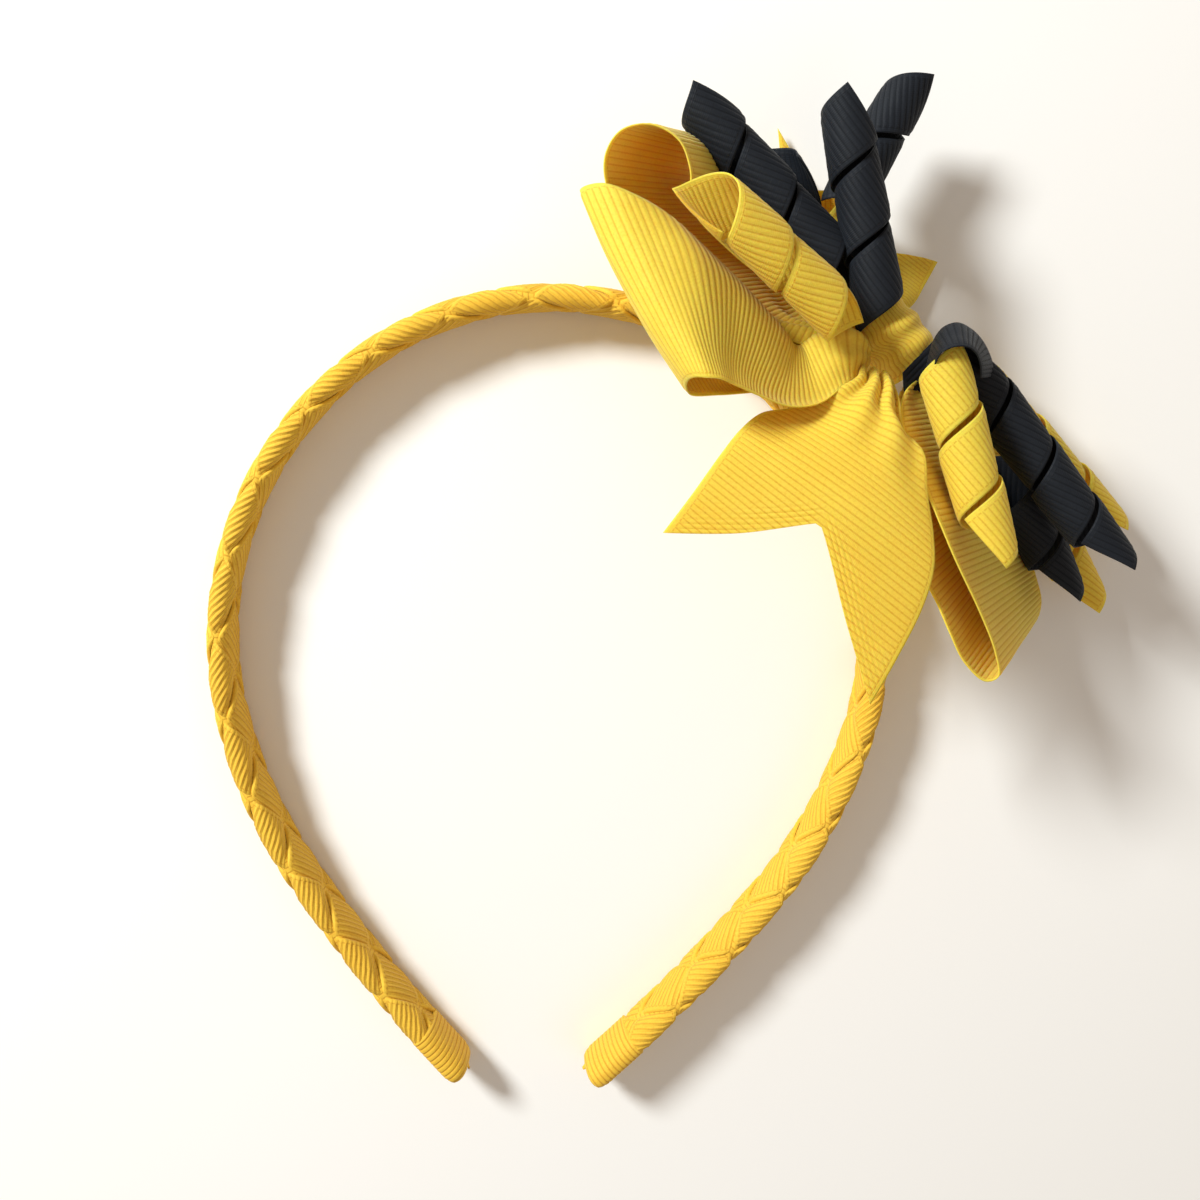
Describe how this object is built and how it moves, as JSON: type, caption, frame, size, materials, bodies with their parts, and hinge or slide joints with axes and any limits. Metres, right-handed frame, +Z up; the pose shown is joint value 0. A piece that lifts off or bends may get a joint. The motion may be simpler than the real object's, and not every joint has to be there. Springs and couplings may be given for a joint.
{
  "type": "ribbon-woven headband with a curled ribbon bow",
  "caption": "Open hair band woven over with yellow grosgrain ribbon, with a wide looped bow, forked tails and curled yellow and navy ribbons at one side",
  "frame": {"origin": "under the middle of the overall box, on the surface that the band lies on", "axes": "+Z up from the rear rim to the front rim, +Y from the open ends to the crown, +X to the side with the bow"},
  "size_m": [0.1546, 0.175, 0.0457],
  "materials": {
    "band_ribbon": "ribbed grosgrain, woven on the bias, soft matt sheen",
    "yellow_ribbon": "ribbed grosgrain ribbon, soft matt sheen",
    "navy_ribbon": "ribbed grosgrain ribbon, soft matt sheen"
  },
  "bodies": {
    "root": {"headband": "band_ribbon", "bow_knot": "yellow_ribbon", "bow_loop_right": "yellow_ribbon", "bow_loop_left": "yellow_ribbon", "bow_loop_front": "yellow_ribbon", "bow_tail_front": "yellow_ribbon", "bow_tail_rear": "yellow_ribbon", "curl_yellow_left": "yellow_ribbon", "curl_yellow_left_rear": "yellow_ribbon", "curl_yellow_right": "yellow_ribbon", "curl_yellow_right_1": "yellow_ribbon", "curl_yellow_right_2": "yellow_ribbon", "curl_navy_left_1": "navy_ribbon", "curl_navy_left_2": "navy_ribbon", "curl_navy_left_3": "navy_ribbon", "curl_navy_left_rear": "navy_ribbon", "curl_navy_right_1": "navy_ribbon", "curl_navy_right_2": "navy_ribbon", "curl_navy_strap": "navy_ribbon", "curl_navy_arch": "navy_ribbon"}
  },
  "joints": []
}
